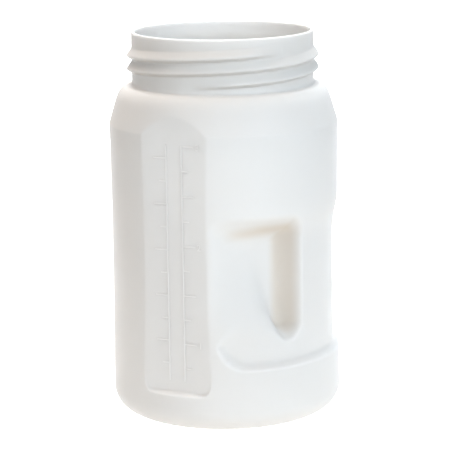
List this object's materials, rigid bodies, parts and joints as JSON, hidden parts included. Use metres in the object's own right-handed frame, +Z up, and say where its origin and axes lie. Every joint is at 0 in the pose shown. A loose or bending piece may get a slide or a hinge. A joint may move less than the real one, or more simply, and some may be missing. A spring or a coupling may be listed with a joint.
{
  "type": "wide-mouth plastic drum",
  "caption": "Round upright drum of milky plastic with a wide threaded open mouth, a flat graduated panel and a side grip bar between two finger pockets.",
  "frame": {"origin": "centre of the base, on the surface that the drum stands on", "axes": "+Z up along the drum's axis to the open mouth, -Y out of the flat graduated panel, +X out of the grip bar"},
  "size_m": [0.1536, 0.1536, 0.2554],
  "materials": {
    "natural_polyethylene": "satin, milky translucent natural polyethylene"
  },
  "bodies": {
    "root": {"drum": "natural_polyethylene"}
  },
  "joints": []
}
